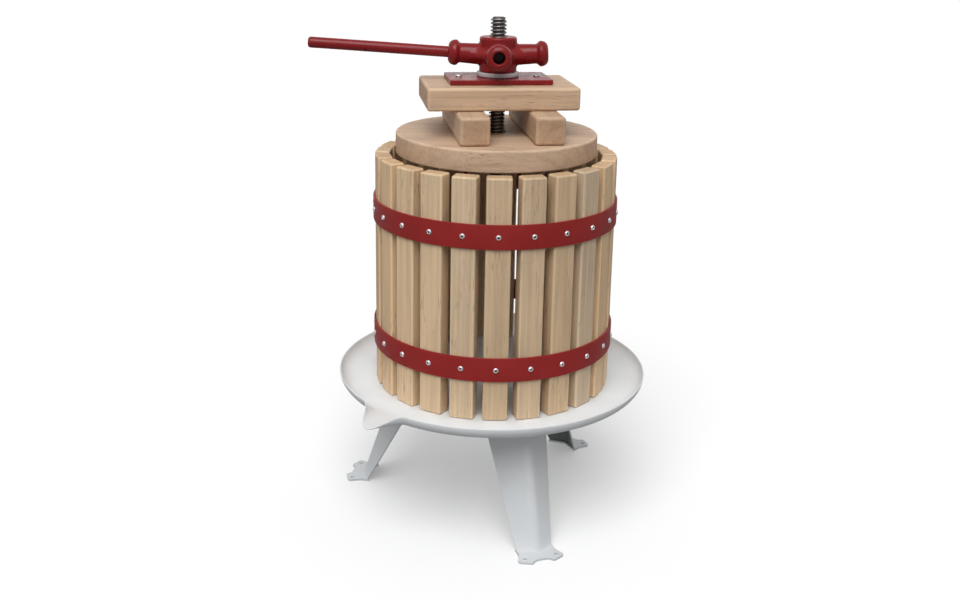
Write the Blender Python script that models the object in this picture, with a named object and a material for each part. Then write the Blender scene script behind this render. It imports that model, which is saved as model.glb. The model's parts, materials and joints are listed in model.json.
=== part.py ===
"""Basket wine press: a slatted basket on a three-legged tray, pressed from above by a nut on a screw.

Metres, +Z up. The screw stands on the Z axis and the feet rest on z = 0; -Y is the front.
Angles around the screw are counted from -Y towards +X.
"""
import math

import bmesh
import bpy
from mathutils import Matrix, Vector

# Gap left between pieces that touch.
GAP = 0.0003

# Steel screw.
SCREW_RADIUS = 0.009
SCREW_TOP = 0.5738
SCREW_CHAMFER = 0.0025
SCREW_HOLE_RADIUS = 0.0098

# Tray: a shallow pressed dish whose floor dips to a gutter inside the wall, with a pouring lip.
TRAY_FLOOR = 0.1525
TRAY_SHEET = 0.0015
TRAY_RIM_RADIUS = 0.1795
TRAY_RIM_RISE = 0.0105
TRAY_WALL_REACH = 0.016
TRAY_WALL_TURN = 0.48 * math.pi
TRAY_GUTTER_START = 0.140
TRAY_GUTTER_DEPTH = 0.0035
TRAY_SIDES = 72
SPOUT_ANGLE = math.radians(-41.0)
SPOUT_HALF_ANGLE = math.radians(10.5)
SPOUT_REACH = 0.024
SPOUT_POINT = 1.25
SPOUT_DROP = 0.0140

# Legs: folded sheet, a deep V at the tray that opens out towards the foot.
LEG_COUNT = 3
LEG_ANGLE = math.radians(20.0)
LEG_SHEET = 0.002
LEG_CREASE = 0.0056
LEG_TOP_RADIUS = 0.112
LEG_TOP_FACE = 0.058
LEG_TOP_FOLD = math.radians(46.0)
LEG_FOOT_RADIUS = 0.1605
LEG_FOOT_FACE = 0.0225
LEG_FOOT_FOLD = math.radians(24.0)
LEG_BOLT_RADIUS = 0.083
LEG_BOLT_OFFSET = 0.016
FOOT_SHEET = 0.0025
FOOT_HOLE_RADIUS = 0.0024
FOOT_HOLE_PLACE = (0.1702, 0.0187)

# Basket.
STAVE_COUNT = 23
STAVE_FIRST_ANGLE = math.radians(1.86)
STAVE_WIDTH = 0.027
STAVE_THICKNESS = 0.017
STAVE_FACE_RADIUS = 0.137
STAVE_LENGTH = 0.2695
STAVE_CHAMFER = 0.002
HOOP_WIDTH = 0.027
HOOP_SHEET = 0.002
HOOP_HEIGHTS = {"hoop_lower": 0.2125, "hoop_upper": 0.3601}

# Pressing head, turned a little about the screw.
HEAD_TURN = math.radians(9.0)
DISC_RADIUS = 0.1140
DISC_THICKNESS = 0.0242
DISC_BOTTOM = 0.4220
BLOCK_SIZE = (0.0325, 0.180, 0.0305)
BLOCK_OFFSETS = {"spacer_block_left": -0.0365, "spacer_block_right": 0.0445}
BEAM_SIZE = (0.168, 0.106, 0.0255)
WOOD_CHAMFER = 0.0035
PLATE_SIZE = (0.114, 0.069, 0.0055)
PLATE_SCREW_OFFSET = 0.044
WASHER_RADIUS = 0.0236
WASHER_THICKNESS = 0.0048

# Nut casting with four sockets, and its bar.
HUB_RADIUS = 0.0208
HUB_HEIGHT = 0.0385
HUB_BORE_RADIUS = 0.0093
HUB_TURN = math.radians(1.4)
SOCKET_RISE = math.radians(3.1)
SOCKET_LENGTH = 0.056
SOCKET_DEPTH = 0.037
SOCKET_HOLE_RADIUS = 0.0066
ARM_ROOT_RADIUS = 0.0120
ARM_NECK_RADIUS = 0.0102
ARM_RING_RADIUS = 0.0142
BAR_RADIUS = 0.0061
BAR_TIP = 0.2115
BAR_SEAT = 0.0005

# Levels worked out from the sizes above.
STAVE_BOTTOM = TRAY_FLOOR + GAP
TRAY_UNDERSIDE = TRAY_FLOOR - TRAY_SHEET
DISC_TOP = DISC_BOTTOM + DISC_THICKNESS
BLOCK_BOTTOM = DISC_TOP + GAP
BEAM_BOTTOM = BLOCK_BOTTOM + BLOCK_SIZE[2] + GAP
PLATE_BOTTOM = BEAM_BOTTOM + BEAM_SIZE[2] + GAP
PLATE_TOP = PLATE_BOTTOM + PLATE_SIZE[2]
WASHER_BOTTOM = PLATE_TOP + GAP
HUB_BOTTOM = WASHER_BOTTOM + WASHER_THICKNESS + GAP
SOCKET_HEIGHT = HUB_BOTTOM + 0.46 * HUB_HEIGHT


def material(name, colour, roughness, metallic=0.0):
    made = bpy.data.materials.new(name)
    made.use_nodes = True
    shader = made.node_tree.nodes["Principled BSDF"]
    shader.inputs["Base Color"].default_value = (*colour, 1.0)
    shader.inputs["Roughness"].default_value = roughness
    shader.inputs["Metallic"].default_value = metallic
    return made


def add_object(name, mesh, finish, parent=None):
    """Put a mesh in the scene as one named piece, whose mesh is in world coordinates."""
    piece = bpy.data.objects.new(name, mesh)
    bpy.context.scene.collection.objects.link(piece)
    if not mesh.materials:
        mesh.materials.append(finish)
    if parent is not None:
        piece.parent = parent
        piece.matrix_parent_inverse = parent.matrix_world.inverted()
    return piece


def mesh_from(name, bm, smooth=False):
    bmesh.ops.recalc_face_normals(bm, faces=bm.faces)
    mesh = bpy.data.meshes.new(name)
    bm.to_mesh(mesh)
    bm.free()
    if smooth:
        mesh.shade_smooth()
        mesh.set_sharp_from_angle(angle=math.radians(35))
    return mesh


def pivot(name, height, parent=None):
    """An empty on the screw's axis at a height above the floor."""
    made = bpy.data.objects.new(name, None)
    made.empty_display_size = 0.03
    bpy.context.scene.collection.objects.link(made)
    made.location.z = height
    if parent is not None:
        made.parent = parent
        made.location.z = height - parent.matrix_world.translation.z
    bpy.context.view_layer.update()
    return made


def turned(profile, sides, closed=True):
    """Turn a closed (radius, height) outline about Z; a radius of zero is a point on the axis."""
    bm = bmesh.new()
    rings = []
    for radius, height in profile:
        if radius == 0.0:
            rings.append([bm.verts.new((0.0, 0.0, height))])
            continue
        ring = []
        for side in range(sides):
            angle = 2 * math.pi * side / sides
            ring.append(bm.verts.new((radius * math.cos(angle), radius * math.sin(angle), height)))
        rings.append(ring)
    pairs = list(zip(rings, rings[1:]))
    if closed:
        pairs.append((rings[-1], rings[0]))
    for lower, upper in pairs:
        for side in range(sides):
            after = (side + 1) % sides
            corners = [lower[side % len(lower)], lower[after % len(lower)],
                       upper[after % len(upper)], upper[side % len(upper)]]
            kept = list(dict.fromkeys(corners))
            if len(kept) > 2:
                bm.faces.new(kept)
    return bm


def round_bar(radius, low, high, chamfer, sides):
    """A solid bar on Z with chamfered ends."""
    profile = [(0.0, low), (radius - chamfer, low), (radius, low + chamfer),
               (radius, high - chamfer), (radius - chamfer, high), (0.0, high)]
    return turned(profile, sides, closed=False)


def ring(inner, outer, low, high, chamfer, sides):
    profile = [(inner, low), (outer - chamfer, low), (outer, low + chamfer),
               (outer, high - chamfer), (outer - chamfer, high), (inner, high)]
    return turned(profile, sides)


def hexagon_nut(bore, half_flats, low, high):
    """A nut with a round bore; every second point of its outline is one of the six corners."""
    sides = 12
    bm = bmesh.new()
    rings = []
    for radius, height in ((bore, low), (None, low), (None, high), (bore, high)):
        points = []
        for side in range(sides):
            angle = 2 * math.pi * side / sides
            off_flat = abs(math.remainder(angle, math.pi / 3))
            reach = radius if radius else half_flats / math.cos(off_flat)
            points.append(bm.verts.new((reach * math.cos(angle), reach * math.sin(angle), height)))
        rings.append(points)
    for lower, upper in zip(rings, rings[1:] + rings[:1]):
        for side in range(sides):
            after = (side + 1) % sides
            bm.faces.new((lower[side], lower[after], upper[after], upper[side]))
    return bm


def block(size, chamfer):
    """A box about the origin with every edge chamfered."""
    bm = bmesh.new()
    bmesh.ops.create_cube(bm, size=1.0)
    bmesh.ops.scale(bm, vec=Vector(size), verts=bm.verts)
    bmesh.ops.bevel(bm, geom=bm.edges[:], offset=chamfer, segments=1, affect="EDGES")
    return bm


def extruded(outline, low, high):
    """A flat plate: an (x, y) outline raised from low to high."""
    bm = bmesh.new()
    face = bm.faces.new([bm.verts.new((x, y, low)) for x, y in outline])
    risen = bmesh.ops.extrude_face_region(bm, geom=[face])
    top = [item for item in risen["geom"] if isinstance(item, bmesh.types.BMVert)]
    bmesh.ops.translate(bm, vec=(0.0, 0.0, high - low), verts=top)
    return bm


def around(angle):
    """Turn a shape built towards -Y so that it faces the given angle around the screw."""
    return Matrix.Rotation(angle, 4, "Z")


def combine(piece, other, operation):
    """Cut another shape out of a piece, or join it on, with a Boolean modifier."""
    other.hide_render = True
    other.display_type = "WIRE"
    other.parent = piece
    other.matrix_parent_inverse = piece.matrix_world.inverted()
    joint = piece.modifiers.new(operation.lower(), "BOOLEAN")
    joint.operation = operation
    joint.solver = "EXACT"
    joint.object = other


def helper(name, bm, matrix, finish):
    bm.transform(matrix)
    return add_object(name, mesh_from(name, bm), finish)


def drill(piece, name, radius, low, high, matrix, finish, sides=24):
    cutter = helper(name, round_bar(radius, low, high, 0.0001, sides), matrix, finish)
    combine(piece, cutter, "DIFFERENCE")
    return cutter


def spout_share(angle):
    """How much of the spout's shape the tray has at an angle: 1 on its middle line, 0 off it."""
    offset = abs(math.remainder(angle - SPOUT_ANGLE, 2 * math.pi)) / SPOUT_HALF_ANGLE
    if offset >= 1.0:
        return 0.0
    return math.cos(offset * math.pi / 2) ** 2


def tray_profile(angle):
    """Middle-surface points (radius, height) from the centre hole out to the rim."""
    share = spout_share(angle)
    rim_radius = TRAY_RIM_RADIUS + SPOUT_REACH * share ** SPOUT_POINT
    rise = TRAY_GUTTER_DEPTH + TRAY_RIM_RISE - SPOUT_DROP * share
    reach = TRAY_WALL_REACH + SPOUT_REACH * share
    gutter = rim_radius - reach
    points = [(SCREW_HOLE_RADIUS, 0.0)]
    dip_steps = 3
    for step in range(dip_steps):
        part = step / dip_steps
        points.append((TRAY_GUTTER_START + (gutter - TRAY_GUTTER_START) * part,
                       -0.5 * TRAY_GUTTER_DEPTH * (1 - math.cos(math.pi * part))))
    wall_steps = 5
    for step in range(wall_steps + 1):
        turn = TRAY_WALL_TURN * step / wall_steps
        points.append((gutter + reach * math.sin(turn) / math.sin(TRAY_WALL_TURN),
                       rise * (1 - math.cos(turn)) / (1 - math.cos(TRAY_WALL_TURN)) - TRAY_GUTTER_DEPTH))
    return points


def tray_angles():
    """Evenly spaced angles, with one more between each pair across the spout."""
    angles = []
    for side in range(TRAY_SIDES):
        angle = 2 * math.pi * side / TRAY_SIDES
        angles.append(angle)
        following = angle + 2 * math.pi / TRAY_SIDES
        if spout_share(angle) > 0.0 or spout_share(following) > 0.0:
            angles.append(angle + math.pi / TRAY_SIDES)
    return angles


def build_tray(base, finish):
    bm = bmesh.new()
    loops = []
    for angle in tray_angles():
        points = tray_profile(angle)
        upper = []
        lower = []
        for index, (radius, height) in enumerate(points):
            before = points[max(index - 1, 0)]
            after = points[min(index + 1, len(points) - 1)]
            along = Vector((after[0] - before[0], after[1] - before[1])).normalized()
            upper.append((radius, TRAY_FLOOR + height))
            lower.append((radius + TRAY_SHEET * along.y, TRAY_FLOOR + height - TRAY_SHEET * along.x))
        section = upper + lower[::-1]
        loop = []
        for radius, height in section:
            loop.append(bm.verts.new((radius * math.sin(angle), -radius * math.cos(angle), height)))
        loops.append(loop)
    for first, second in zip(loops, loops[1:] + loops[:1]):
        count = len(first)
        for index in range(count):
            after = (index + 1) % count
            bm.faces.new((first[index], first[after], second[after], second[index]))
    tray = add_object("tray", mesh_from("tray", bm, smooth=True), finish, base)
    for name, matrix in leg_bolt_places():
        drill(tray, f"cut_tray_{name}", 0.0034, TRAY_FLOOR - 0.010, TRAY_FLOOR + 0.010, matrix, finish, 16)
    return tray


def leg_names():
    return ["leg_front", "leg_right", "leg_left"]


def leg_bolt_places():
    """Name and placement of each bolt that holds a leg to the tray."""
    places = []
    for leg in range(LEG_COUNT):
        for number, side in enumerate((-1, 1)):
            matrix = around(LEG_ANGLE + leg * 2 * math.pi / LEG_COUNT)
            matrix = matrix @ Matrix.Translation((side * LEG_BOLT_OFFSET, -LEG_BOLT_RADIUS, 0.0))
            places.append((f"{leg_names()[leg]}_{number + 1}", matrix))
    return places


def leg_section(radius, face, fold, height):
    """Cross-section of a leg facing -Y: a folded strip, creased in the middle."""
    bend = LEG_CREASE / math.sin(fold)
    outer = []
    for share in (0.0, 0.5, 1.0):
        outer.append(Vector((bend * math.sin(share * fold), bend * (1 - math.cos(share * fold)))))
    outer.append(Vector((face * math.cos(fold), face * math.sin(fold))))
    outline = [Vector((-p.x, p.y)) for p in outer[:0:-1]] + outer
    inner = []
    for index, point in enumerate(outline):
        before = outline[max(index - 1, 0)]
        after = outline[min(index + 1, len(outline) - 1)]
        along = (after - before).normalized()
        inner.append(point + Vector((-along.y, along.x)) * LEG_SHEET)
    return [(p.x, -radius + p.y, height) for p in outline + inner[::-1]]


def build_leg_mesh(finish):
    """One finished leg facing -Y: the folded sheet joined to its foot and its top flange, and drilled."""
    low = 0.5 * FOOT_SHEET
    high = TRAY_UNDERSIDE - GAP - 0.5 * LEG_SHEET
    bm = bmesh.new()
    bottom = [bm.verts.new(p) for p in leg_section(LEG_FOOT_RADIUS, LEG_FOOT_FACE, LEG_FOOT_FOLD, low)]
    top = [bm.verts.new(p) for p in leg_section(LEG_TOP_RADIUS, LEG_TOP_FACE, LEG_TOP_FOLD, high)]
    for index in range(len(bottom)):
        after = (index + 1) % len(bottom)
        bm.faces.new((bottom[index], bottom[after], top[after], top[index]))
    bm.faces.new(bottom)
    bm.faces.new(top)
    leg = add_object("leg", mesh_from("leg", bm), finish)

    foot_half = [(0.0, 0.1742), (0.0075, 0.1748), (0.0128, 0.1798), (0.0245, 0.1744), (0.0266, 0.1712),
                 (0.0234, 0.1645), (0.0214, 0.1585), (0.0215, 0.1480), (0.0, 0.1560)]
    foot_outline = foot_half + [(-x, r) for x, r in foot_half[-2:0:-1]]
    foot = extruded([(x, -r) for x, r in foot_outline], 0.0, FOOT_SHEET)
    helpers = [helper("join_foot", foot, Matrix(), finish)]
    combine(leg, helpers[0], "UNION")

    fold_x = LEG_TOP_FACE * math.cos(LEG_TOP_FOLD)
    fold_back = LEG_TOP_FACE * math.sin(LEG_TOP_FOLD)
    edge = LEG_TOP_RADIUS - 0.0012
    flange_outline = [(0.0, edge), (fold_x - 0.0015, edge - fold_back), (fold_x - 0.006, edge - fold_back - 0.006),
                      (-fold_x + 0.006, edge - fold_back - 0.006), (-fold_x + 0.0015, edge - fold_back)]
    flange_top = TRAY_UNDERSIDE - GAP
    flange = extruded([(x, -r) for x, r in flange_outline], flange_top - LEG_SHEET, flange_top)
    helpers.append(helper("join_flange", flange, Matrix(), finish))
    combine(leg, helpers[1], "UNION")

    for side in (-1, 1):
        foot_place = Matrix.Translation((side * FOOT_HOLE_PLACE[1], -FOOT_HOLE_PLACE[0], 0.0))
        helpers.append(drill(leg, "cut_foot", FOOT_HOLE_RADIUS, -0.010, 0.010, foot_place, finish, 12))
        bolt_place = Matrix.Translation((side * LEG_BOLT_OFFSET, -LEG_BOLT_RADIUS, 0.0))
        helpers.append(drill(leg, "cut_bolt", 0.0034, flange_top - 0.010, flange_top + 0.010,
                             bolt_place, finish, 12))
    bpy.context.view_layer.update()
    mesh = bpy.data.meshes.new_from_object(leg.evaluated_get(bpy.context.evaluated_depsgraph_get()))
    for used in helpers + [leg]:
        bpy.data.objects.remove(used)
    return mesh


def build_legs(base, finish):
    mesh = build_leg_mesh(finish)
    for number, name in enumerate(leg_names()):
        leg = add_object(name, mesh, finish, base)
        leg.rotation_euler.z = LEG_ANGLE + number * 2 * math.pi / LEG_COUNT


def build_leg_fasteners(base, finish):
    """A dome-headed bolt through the tray and a hexagon nut under each leg flange."""
    nut_top = TRAY_UNDERSIDE - GAP - LEG_SHEET - GAP
    nut_height = 0.005
    shank_end = nut_top - nut_height - 0.002
    head = TRAY_FLOOR + GAP
    profile = [(0.0, shank_end), (0.0023, shank_end), (0.0030, shank_end + 0.0007), (0.0030, head),
               (0.0062, head), (0.0060, head + 0.0014), (0.0042, head + 0.0028), (0.0, head + 0.0033)]
    for name, matrix in leg_bolt_places():
        bolt = turned(profile, 10, closed=False)
        bolt.transform(matrix)
        add_object(f"bolt_{name}", mesh_from(f"bolt_{name}", bolt, smooth=True), finish, base)
        nut = hexagon_nut(0.0033, 0.0050, nut_top - nut_height, nut_top)
        nut.transform(matrix)
        add_object(f"nut_{name}", mesh_from(f"nut_{name}", nut), finish, base)


def build_screw(base, finish):
    """Screw with a flat head under the tray, and a lock nut that clamps the tray floor to it."""
    washer_top = TRAY_UNDERSIDE - GAP
    head_top = washer_top - 0.003 - GAP
    head_low = head_top - 0.012
    profile = [(0.0, head_low), (0.0150, head_low), (0.0165, head_low + 0.0015), (0.0165, head_top),
               (SCREW_RADIUS, head_top), (SCREW_RADIUS, SCREW_TOP - SCREW_CHAMFER),
               (SCREW_RADIUS - SCREW_CHAMFER, SCREW_TOP), (0.0, SCREW_TOP)]
    screw = turned(profile, 24, closed=False)
    add_object("screw", mesh_from("screw", screw, smooth=True), finish, base)
    washer = ring(SCREW_HOLE_RADIUS, 0.026, washer_top - 0.003, washer_top, 0.0005, 24)
    add_object("screw_washer", mesh_from("screw_washer", washer, smooth=True), finish, base)
    nut_low = TRAY_FLOOR + GAP
    nut = hexagon_nut(SCREW_HOLE_RADIUS, 0.0145, nut_low, nut_low + 0.012)
    add_object("screw_lock_nut", mesh_from("screw_lock_nut", nut), finish, base)


def build_basket(basket, wood, paint):
    for number in range(STAVE_COUNT):
        angle = STAVE_FIRST_ANGLE + 2 * math.pi * number / STAVE_COUNT
        stave = block((STAVE_WIDTH, STAVE_THICKNESS, STAVE_LENGTH), STAVE_CHAMFER)
        place = Matrix.Translation((0.0, 0.5 * STAVE_THICKNESS - STAVE_FACE_RADIUS,
                                    STAVE_BOTTOM + 0.5 * STAVE_LENGTH))
        stave.transform(around(angle) @ place)
        name = f"stave_{number + 1:02d}"
        add_object(name, mesh_from(name, stave), wood, basket)
    inner = math.hypot(STAVE_FACE_RADIUS, 0.5 * STAVE_WIDTH - STAVE_CHAMFER) + GAP
    for name, height in HOOP_HEIGHTS.items():
        low = height - 0.5 * HOOP_WIDTH
        high = height + 0.5 * HOOP_WIDTH
        outer = inner + HOOP_SHEET
        band = turned([(inner, low), (outer, low), (outer, high), (inner, high)], 3 * STAVE_COUNT)
        add_object(name, mesh_from(name, band, smooth=True), paint, basket)


def build_head(head, wood, paint, steel, plastic):
    hole = SCREW_HOLE_RADIUS + 0.0007
    edge = 0.0022
    top = DISC_TOP
    low = DISC_BOTTOM
    profile = [(hole, low), (DISC_RADIUS - edge, low), (DISC_RADIUS, low + edge),
               (DISC_RADIUS, top - edge), (DISC_RADIUS - edge, top), (hole, top)]
    disc = turned(profile, 60)
    add_object("pressing_disc", mesh_from("pressing_disc", disc, smooth=True), wood, head)

    for name, offset in BLOCK_OFFSETS.items():
        spacer = block(BLOCK_SIZE, WOOD_CHAMFER)
        spacer.transform(around(HEAD_TURN) @ Matrix.Translation((offset, 0.0, BLOCK_BOTTOM + 0.5 * BLOCK_SIZE[2])))
        add_object(name, mesh_from(name, spacer), wood, head)

    beam = block(BEAM_SIZE, WOOD_CHAMFER)
    beam.transform(around(HEAD_TURN) @ Matrix.Translation((0.0, 0.0, BEAM_BOTTOM + 0.5 * BEAM_SIZE[2])))
    crossbeam = add_object("crossbeam", mesh_from("crossbeam", beam), wood, head)
    drill(crossbeam, "cut_crossbeam", hole, BEAM_BOTTOM - 0.01, PLATE_BOTTOM + 0.01, Matrix(), wood)

    plate = block(PLATE_SIZE, 0.0008)
    plate.transform(around(HEAD_TURN) @ Matrix.Translation((0.0, 0.0, PLATE_BOTTOM + 0.5 * PLATE_SIZE[2])))
    pressure_plate = add_object("pressure_plate", mesh_from("pressure_plate", plate), paint, head)
    drill(pressure_plate, "cut_plate", hole, PLATE_BOTTOM - 0.01, PLATE_TOP + 0.01, Matrix(), paint)

    for number, side in enumerate((-1, 1)):
        place = around(HEAD_TURN) @ Matrix.Translation((side * PLATE_SCREW_OFFSET, 0.0, 0.0))
        name = f"plate_screw_{number + 1}"
        head_low = PLATE_TOP + GAP
        outline = [(0.0, PLATE_BOTTOM - 0.016), (0.0017, PLATE_BOTTOM - 0.012), (0.0017, head_low),
                   (0.0040, head_low), (0.0037, head_low + 0.0010), (0.0024, head_low + 0.0019),
                   (0.0, head_low + 0.0022)]
        wood_screw = turned(outline, 10, closed=False)
        wood_screw.transform(place)
        add_object(name, mesh_from(name, wood_screw, smooth=True), steel, head)
        for holed, label, finish in ((pressure_plate, "plate", paint), (crossbeam, "beam", wood)):
            drill(holed, f"cut_{label}_{name}", 0.0020, PLATE_BOTTOM - 0.0165, PLATE_TOP + 0.01, place, finish, 16)

    washer = ring(hole, WASHER_RADIUS, WASHER_BOTTOM, WASHER_BOTTOM + WASHER_THICKNESS, 0.0010, 28)
    add_object("thrust_washer", mesh_from("thrust_washer", washer, smooth=True), plastic, head)


def socket_matrix(index):
    """Places a shape built along +Z on the axis of one of the hub's four sockets."""
    turn = around(HUB_TURN + index * math.pi / 2)
    tilt = Matrix.Rotation(0.5 * math.pi - SOCKET_RISE, 4, "X")
    return Matrix.Translation((0.0, 0.0, SOCKET_HEIGHT)) @ turn @ tilt


def build_hub(hub_pivot, finish):
    top = HUB_BOTTOM + HUB_HEIGHT
    body = turned([(0.0, HUB_BOTTOM), (HUB_RADIUS - 0.0008, HUB_BOTTOM), (HUB_RADIUS, HUB_BOTTOM + 0.0008),
                   (HUB_RADIUS, top - 0.0030), (HUB_RADIUS - 0.0009, top - 0.0009),
                   (HUB_RADIUS - 0.0030, top), (0.0, top)], 32, closed=False)
    hub = add_object("hub_nut", mesh_from("hub_nut", body, smooth=True), finish, hub_pivot)
    end = SOCKET_LENGTH
    arm_profile = [(0.0, 0.004), (ARM_ROOT_RADIUS, 0.004), (ARM_ROOT_RADIUS, 0.022), (ARM_NECK_RADIUS, 0.040),
                   (ARM_NECK_RADIUS + 0.0008, 0.0435), (ARM_RING_RADIUS, 0.0480),
                   (ARM_RING_RADIUS - 0.0010, end - 0.0022),
                   (ARM_RING_RADIUS - 0.0044, end), (0.0, end)]
    for index in range(4):
        arm = turned(arm_profile, 20, closed=False)
        combine(hub, helper(f"join_arm_{index}", arm, socket_matrix(index), finish), "UNION")
    for index in range(4):
        drill(hub, f"cut_socket_{index}", SOCKET_HOLE_RADIUS, end - SOCKET_DEPTH, end + 0.01,
              socket_matrix(index), finish, 16)
    drill(hub, "cut_hub_bore", HUB_BORE_RADIUS, HUB_BOTTOM - 0.01, top + 0.01, Matrix(), finish, 24)
    return hub


def build_bar(bar_pivot, finish):
    """Round bar seated in the left socket, with rounded ends."""
    low = SOCKET_LENGTH - SOCKET_DEPTH + BAR_SEAT
    profile = [(0.0, low), (BAR_RADIUS - 0.001, low), (BAR_RADIUS, low + 0.001),
               (BAR_RADIUS, BAR_TIP - 0.0030), (0.75 * BAR_RADIUS, BAR_TIP - 0.0009), (0.0, BAR_TIP)]
    bar = turned(profile, 20, closed=False)
    bar.transform(socket_matrix(3))
    add_object("handle_bar", mesh_from("handle_bar", bar, smooth=True), finish, bar_pivot)


def stand_on_origin(root):
    """Move everything sideways so that the middle of the overall box is over the origin."""
    bpy.context.view_layer.update()
    depsgraph = bpy.context.evaluated_depsgraph_get()
    low = Vector((math.inf, math.inf))
    high = Vector((-math.inf, -math.inf))
    for piece in bpy.data.objects:
        if piece.type != "MESH" or piece.hide_render:
            continue
        evaluated = piece.evaluated_get(depsgraph)
        for corner in evaluated.bound_box:
            point = evaluated.matrix_world @ Vector(corner)
            low = Vector((min(low.x, point.x), min(low.y, point.y)))
            high = Vector((max(high.x, point.x), max(high.y, point.y)))
    middle = 0.5 * (low + high)
    root.location = (-middle.x, -middle.y, 0.0)


def main():
    for leftover in list(bpy.data.objects):
        bpy.data.objects.remove(leftover)

    stave_wood = material("stave_wood", (0.50, 0.36, 0.22), 0.60)
    head_wood = material("head_wood", (0.55, 0.39, 0.25), 0.55)
    red_paint = material("red_paint", (0.25, 0.02, 0.02), 0.35)
    white_coat = material("white_coat", (0.80, 0.80, 0.81), 0.35)
    steel = material("steel", (0.42, 0.42, 0.42), 0.35, 1.0)
    zinc = material("zinc", (0.62, 0.63, 0.65), 0.30, 1.0)
    plastic = material("white_plastic", (0.72, 0.72, 0.74), 0.45)

    root = pivot("press_root", 0.0)
    basket = pivot("basket_pivot", STAVE_BOTTOM, root)
    head = pivot("head_pivot", DISC_BOTTOM, root)
    hub_pivot = pivot("hub_pivot", HUB_BOTTOM, head)
    bar_pivot = pivot("bar_pivot", SOCKET_HEIGHT, hub_pivot)

    build_tray(root, white_coat)
    build_legs(root, white_coat)
    build_leg_fasteners(root, zinc)
    build_screw(root, steel)
    build_basket(basket, stave_wood, red_paint)
    build_head(head, head_wood, red_paint, zinc, plastic)
    build_hub(hub_pivot, red_paint)
    build_bar(bar_pivot, red_paint)
    stand_on_origin(root)


main()
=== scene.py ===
"""Looks of the basket wine press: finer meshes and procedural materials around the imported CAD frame.

Metres, +Z up, -Y the front. Angles around the screw are counted from -Y towards +X.
"""
import json
import math
import random

import bmesh
import bpy
import numpy as np
from mathutils import Matrix, Vector


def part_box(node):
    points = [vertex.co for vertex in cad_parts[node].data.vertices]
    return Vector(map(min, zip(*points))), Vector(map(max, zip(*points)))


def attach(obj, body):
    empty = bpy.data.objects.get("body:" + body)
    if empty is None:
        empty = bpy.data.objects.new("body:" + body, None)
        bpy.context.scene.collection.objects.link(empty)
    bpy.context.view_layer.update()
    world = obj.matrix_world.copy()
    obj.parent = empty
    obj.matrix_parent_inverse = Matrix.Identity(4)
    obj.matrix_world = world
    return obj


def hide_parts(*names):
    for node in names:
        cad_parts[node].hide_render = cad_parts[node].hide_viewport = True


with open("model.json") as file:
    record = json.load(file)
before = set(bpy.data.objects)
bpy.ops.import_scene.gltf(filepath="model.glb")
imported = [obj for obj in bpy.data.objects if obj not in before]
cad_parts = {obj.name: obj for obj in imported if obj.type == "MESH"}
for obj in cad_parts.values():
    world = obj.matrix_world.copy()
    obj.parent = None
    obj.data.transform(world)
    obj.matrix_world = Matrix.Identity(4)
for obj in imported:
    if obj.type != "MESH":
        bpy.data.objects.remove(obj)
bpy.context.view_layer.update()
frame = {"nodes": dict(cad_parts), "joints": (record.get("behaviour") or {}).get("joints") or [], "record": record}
record = frame["record"]
BODIES = record["behaviour"]["bodies"]
BODY_OF = {node: body for body, nodes in BODIES.items() for node in nodes}
SLOT_OF = {part["node"]: part["material_slot"] for part in record["subparts"]}
SPIN = next(joint for joint in frame["joints"] if joint["name"] == "nut_spin")
AXIS = Vector((SPIN["pos_m"][0], SPIN["pos_m"][1], 0.0))

# Tray.
TRAY_SHEET = 0.0015
TRAY_RIM_RADIUS = 0.1794
TRAY_RIM_RISE = 0.0105
TRAY_WALL_REACH = 0.016
TRAY_WALL_TURN = 0.48 * math.pi
TRAY_GUTTER_START = 0.140
TRAY_GUTTER_DEPTH = 0.0035
TRAY_SIDES = 480
TRAY_GUTTER_STEPS = 10
TRAY_WALL_STEPS = 16
SPOUT_ANGLE = math.radians(-41.0)
SPOUT_HALF_ANGLE = math.radians(10.5)
SPOUT_REACH = 0.024
SPOUT_POINT = 1.25
SPOUT_DROP = 0.0140
SCREW_HOLE_RADIUS = 0.0098
BOLT_HOLE_RADIUS = 0.0034

# Legs.
LEG_ANGLES = {
    "leg_front": math.radians(20.0),
    "leg_right": math.radians(140.0),
    "leg_left": math.radians(260.0),
}
LEG_SHEET = 0.002
LEG_CREASE = 0.0056
LEG_CREASE_STEPS = 6
LEG_ROWS = 12
LEG_TOP_RADIUS = 0.112
LEG_TOP_FACE = 0.058
LEG_TOP_FOLD = math.radians(46.0)
LEG_FOOT_RADIUS = 0.1605
LEG_FOOT_FACE = 0.0225
LEG_FOOT_FOLD = math.radians(24.0)
LEG_BOLT_RADIUS = 0.083
LEG_BOLT_OFFSET = 0.016
FOOT_SHEET = 0.0025
FOOT_HOLE_RADIUS = 0.0024
FOOT_HOLE_PLACE = (0.1702, 0.0187)
# Half of a foot's outline: distance from its middle line, distance from the screw, and corner rounding.
FOOT_HALF = [
    (0.0, 0.1742, 0.0),
    (0.0075, 0.1748, 0.0012),
    (0.0128, 0.1798, 0.0012),
    (0.0245, 0.1744, 0.0012),
    (0.0266, 0.1712, 0.0012),
    (0.0234, 0.1645, 0.0012),
    (0.0214, 0.1585, 0.0012),
    (0.0215, 0.1480, 0.0),
    (0.0, 0.1560, 0.0),
]
FLANGE_INSET = 0.0012
FLANGE_SIDE_INSET = 0.0015
FLANGE_REAR_INSET = 0.006
# The leg bolts are M6 with a domed head and a hexagon socket.
BOLT_RADIUS = 0.0030
BOLT_HEAD_RADIUS = 0.0062
BOLT_HEAD_HEIGHT = 0.0033
BOLT_SOCKET_RADIUS = 0.0021
LEG_NUT_CORNER = 0.00577
LEG_NUT_BORE = 0.0033

# A leg's face counts as an inner one, and gets painted shade, when its normal points to the back by more
# than this share of how far it points to the side.
INSIDE_SHARE = 0.93

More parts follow.
